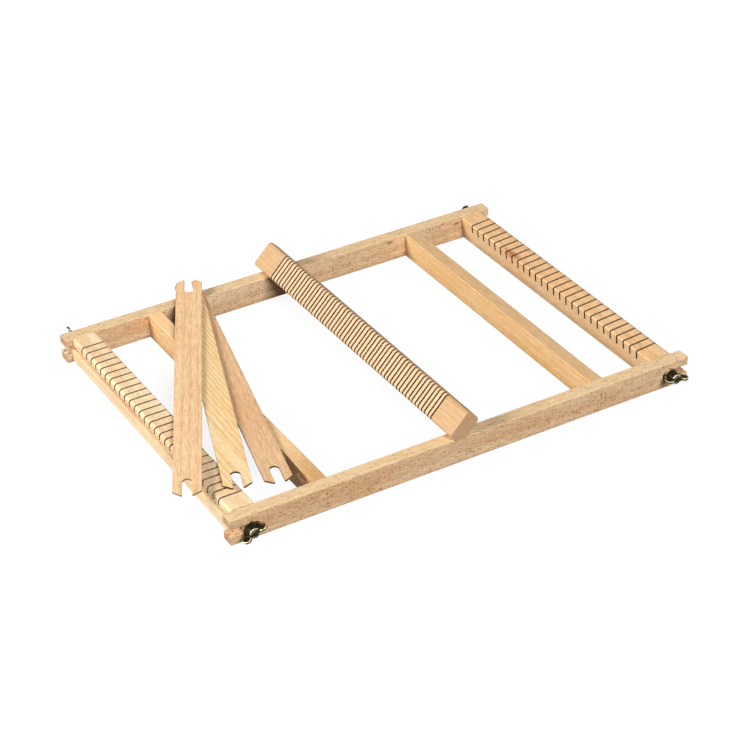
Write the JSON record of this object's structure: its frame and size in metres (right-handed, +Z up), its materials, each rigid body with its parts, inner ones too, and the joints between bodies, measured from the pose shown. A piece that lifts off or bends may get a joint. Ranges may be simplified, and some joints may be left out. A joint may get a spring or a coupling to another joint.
{
  "type": "table loom",
  "caption": "Small wooden table loom: slotted warp bars clamped by wing nuts between two side rails, with a slotted heddle bar and flat notched stick shuttles laid on the frame.",
  "frame": {"origin": "middle of the underside of the front rail, on the table", "axes": "+X along the side rails towards the end whose warp bar is tilted, +Y from the front rail to the back rail, +Z up"},
  "size_m": [0.4737, 0.3664, 0.0477],
  "materials": {
    "beech": "sanded beech with a thin satin oil",
    "beech_rail": "sanded beech, darker heartwood, satin oil",
    "maple": "sanded pale hardwood, unfinished",
    "ash": "planed wood with a bold straight grain",
    "brad_steel": "bright steel wire, dulled and dark in its punched hole",
    "zinc_steel": "threaded steel, dark zinc plate",
    "antique_brass": "antique bronze plate, darkened in the recesses"
  },
  "bodies": {
    "frame": {"rail_front": "beech_rail", "rail_back": "beech_rail", "crossbar_left": "beech_rail", "crossbar_right": "beech_rail", "crossbar_brads": "brad_steel"},
    "left_washers": {"washer_left_front": "antique_brass", "washer_left_back": "antique_brass"},
    "left_warp_bar": {"warp_bar_left": "maple", "stud_left_front": "zinc_steel", "stud_left_back": "zinc_steel"},
    "left_front_nut": {"wing_nut_left_front": "antique_brass"},
    "left_back_nut": {"wing_nut_left_back": "antique_brass"},
    "right_washers": {"washer_right_front": "antique_brass", "washer_right_back": "antique_brass"},
    "right_warp_bar": {"warp_bar_right": "beech", "stud_right_front": "zinc_steel", "stud_right_back": "zinc_steel"},
    "right_front_nut": {"wing_nut_right_front": "antique_brass"},
    "right_back_nut": {"wing_nut_right_back": "antique_brass"},
    "heddle": {"heddle_bar": "beech"},
    "bottom_shuttle": {"shuttle_bottom": "beech"},
    "middle_shuttle": {"shuttle_middle": "ash"},
    "top_shuttle": {"shuttle_top": "beech"}
  },
  "joints": [
    {"name": "left_bar_slide", "type": "slide", "parent": "frame", "child": "left_washers", "axis": [-1, 0, 0], "range_m": [-0.006, 0.008]},
    {"name": "left_bar_tilt", "type": "hinge", "parent": "left_washers", "child": "left_warp_bar", "pos_m": [-0.2078, 0.1615, 0.012], "axis": [0, 1, 0], "range_deg": [-10, 10]},
    {"name": "left_front_nut_turn", "type": "hinge", "parent": "left_warp_bar", "child": "left_front_nut", "pos_m": [-0.2078, -0.013, 0.012], "axis": [0, -1, 0], "continuous": true},
    {"name": "left_back_nut_turn", "type": "hinge", "parent": "left_warp_bar", "child": "left_back_nut", "pos_m": [-0.2078, 0.336, 0.012], "axis": [0, 1, 0], "continuous": true},
    {"name": "right_bar_slide", "type": "slide", "parent": "frame", "child": "right_washers", "axis": [1, 0, 0], "range_m": [-0.004, 0.008]},
    {"name": "right_bar_tilt", "type": "hinge", "parent": "right_washers", "child": "right_warp_bar", "pos_m": [0.206, 0.1615, 0.012], "axis": [0, -1, 0], "range_deg": [-14.5, 5.5]},
    {"name": "right_front_nut_turn", "type": "hinge", "parent": "right_warp_bar", "child": "right_front_nut", "pos_m": [0.206, -0.013, 0.012], "axis": [0, -1, 0], "continuous": true},
    {"name": "right_back_nut_turn", "type": "hinge", "parent": "right_warp_bar", "child": "right_back_nut", "pos_m": [0.206, 0.336, 0.012], "axis": [0, 1, 0], "continuous": true},
    {"name": "heddle_lift", "type": "slide", "parent": "frame", "child": "heddle", "axis": [0, 0, 1], "range_m": [0, 0.1]},
    {"name": "bottom_shuttle_lift", "type": "slide", "parent": "frame", "child": "bottom_shuttle", "axis": [0, 0, 1], "range_m": [0, 0.06]},
    {"name": "middle_shuttle_lift", "type": "slide", "parent": "bottom_shuttle", "child": "middle_shuttle", "axis": [0, 0, 1], "range_m": [0, 0.06]},
    {"name": "top_shuttle_lift", "type": "slide", "parent": "middle_shuttle", "child": "top_shuttle", "axis": [0, 0, 1], "range_m": [0, 0.06]}
  ]
}
